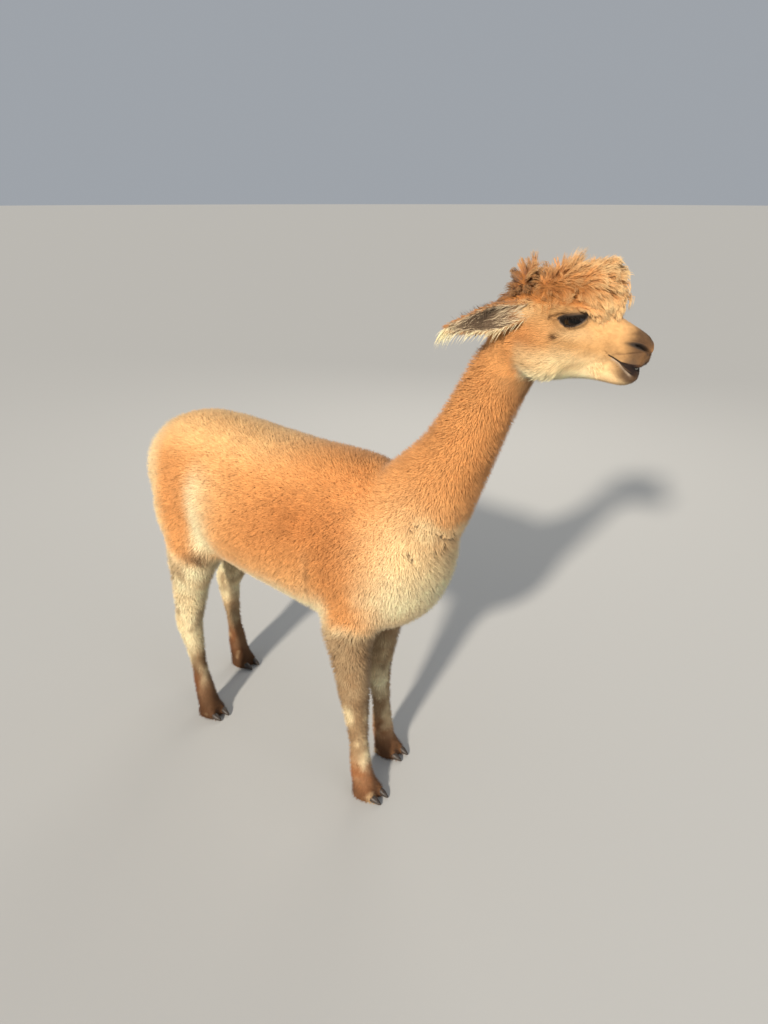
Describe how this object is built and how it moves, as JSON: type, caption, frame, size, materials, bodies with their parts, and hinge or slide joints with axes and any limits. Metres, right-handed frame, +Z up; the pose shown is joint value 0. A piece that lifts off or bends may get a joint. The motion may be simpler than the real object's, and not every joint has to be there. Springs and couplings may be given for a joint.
{
  "type": "alpaca",
  "caption": "Life-size shorn huacaya alpaca, golden fawn, standing with head raised, ears laid back and a woolly topknot.",
  "frame": {"origin": "on the ground under the middle of the bounding box", "axes": "+X forward, towards the nose; +Y to the animal's left; +Z up"},
  "size_m": [1.3352, 0.3714, 1.3255],
  "materials": {
    "body_coat": "dense short fleece, orange fawn, paler on chest and thigh",
    "face_coat": "short cream and fawn hair",
    "topknot_coat": "curly golden-brown wool with pale tips",
    "ear_coat": "short hair outside, grey hair inside, pale fringe",
    "leg_coat": "short cream hair with brown patches",
    "foot_coat": "short rusty brown hair",
    "eye": "wet, near black",
    "nail": "worn horn, grey pink",
    "tooth": "ivory"
  },
  "bodies": {
    "root": {"head": "face_coat", "lower_jaw": "face_coat", "lower_incisors": "tooth", "topknot": "topknot_coat", "ear_left": "ear_coat", "ear_right": "ear_coat", "eye_left": "eye", "eye_right": "eye", "neck_upper": "body_coat", "neck_lower": "body_coat", "chest": "body_coat", "barrel": "body_coat", "rump": "body_coat", "tail": "body_coat", "upper_leg_fore_right": "leg_coat", "lower_leg_fore_right": "leg_coat", "foot_fore_right": "foot_coat", "nail_fore_right_outer": "nail", "nail_fore_right_inner": "nail", "upper_leg_fore_left": "leg_coat", "lower_leg_fore_left": "leg_coat", "foot_fore_left": "foot_coat", "nail_fore_left_outer": "nail", "nail_fore_left_inner": "nail", "upper_leg_hind_right": "leg_coat", "lower_leg_hind_right": "leg_coat", "foot_hind_right": "foot_coat", "nail_hind_right_outer": "nail", "nail_hind_right_inner": "nail", "upper_leg_hind_left": "leg_coat", "lower_leg_hind_left": "leg_coat", "foot_hind_left": "foot_coat", "nail_hind_left_outer": "nail", "nail_hind_left_inner": "nail"}
  },
  "joints": []
}
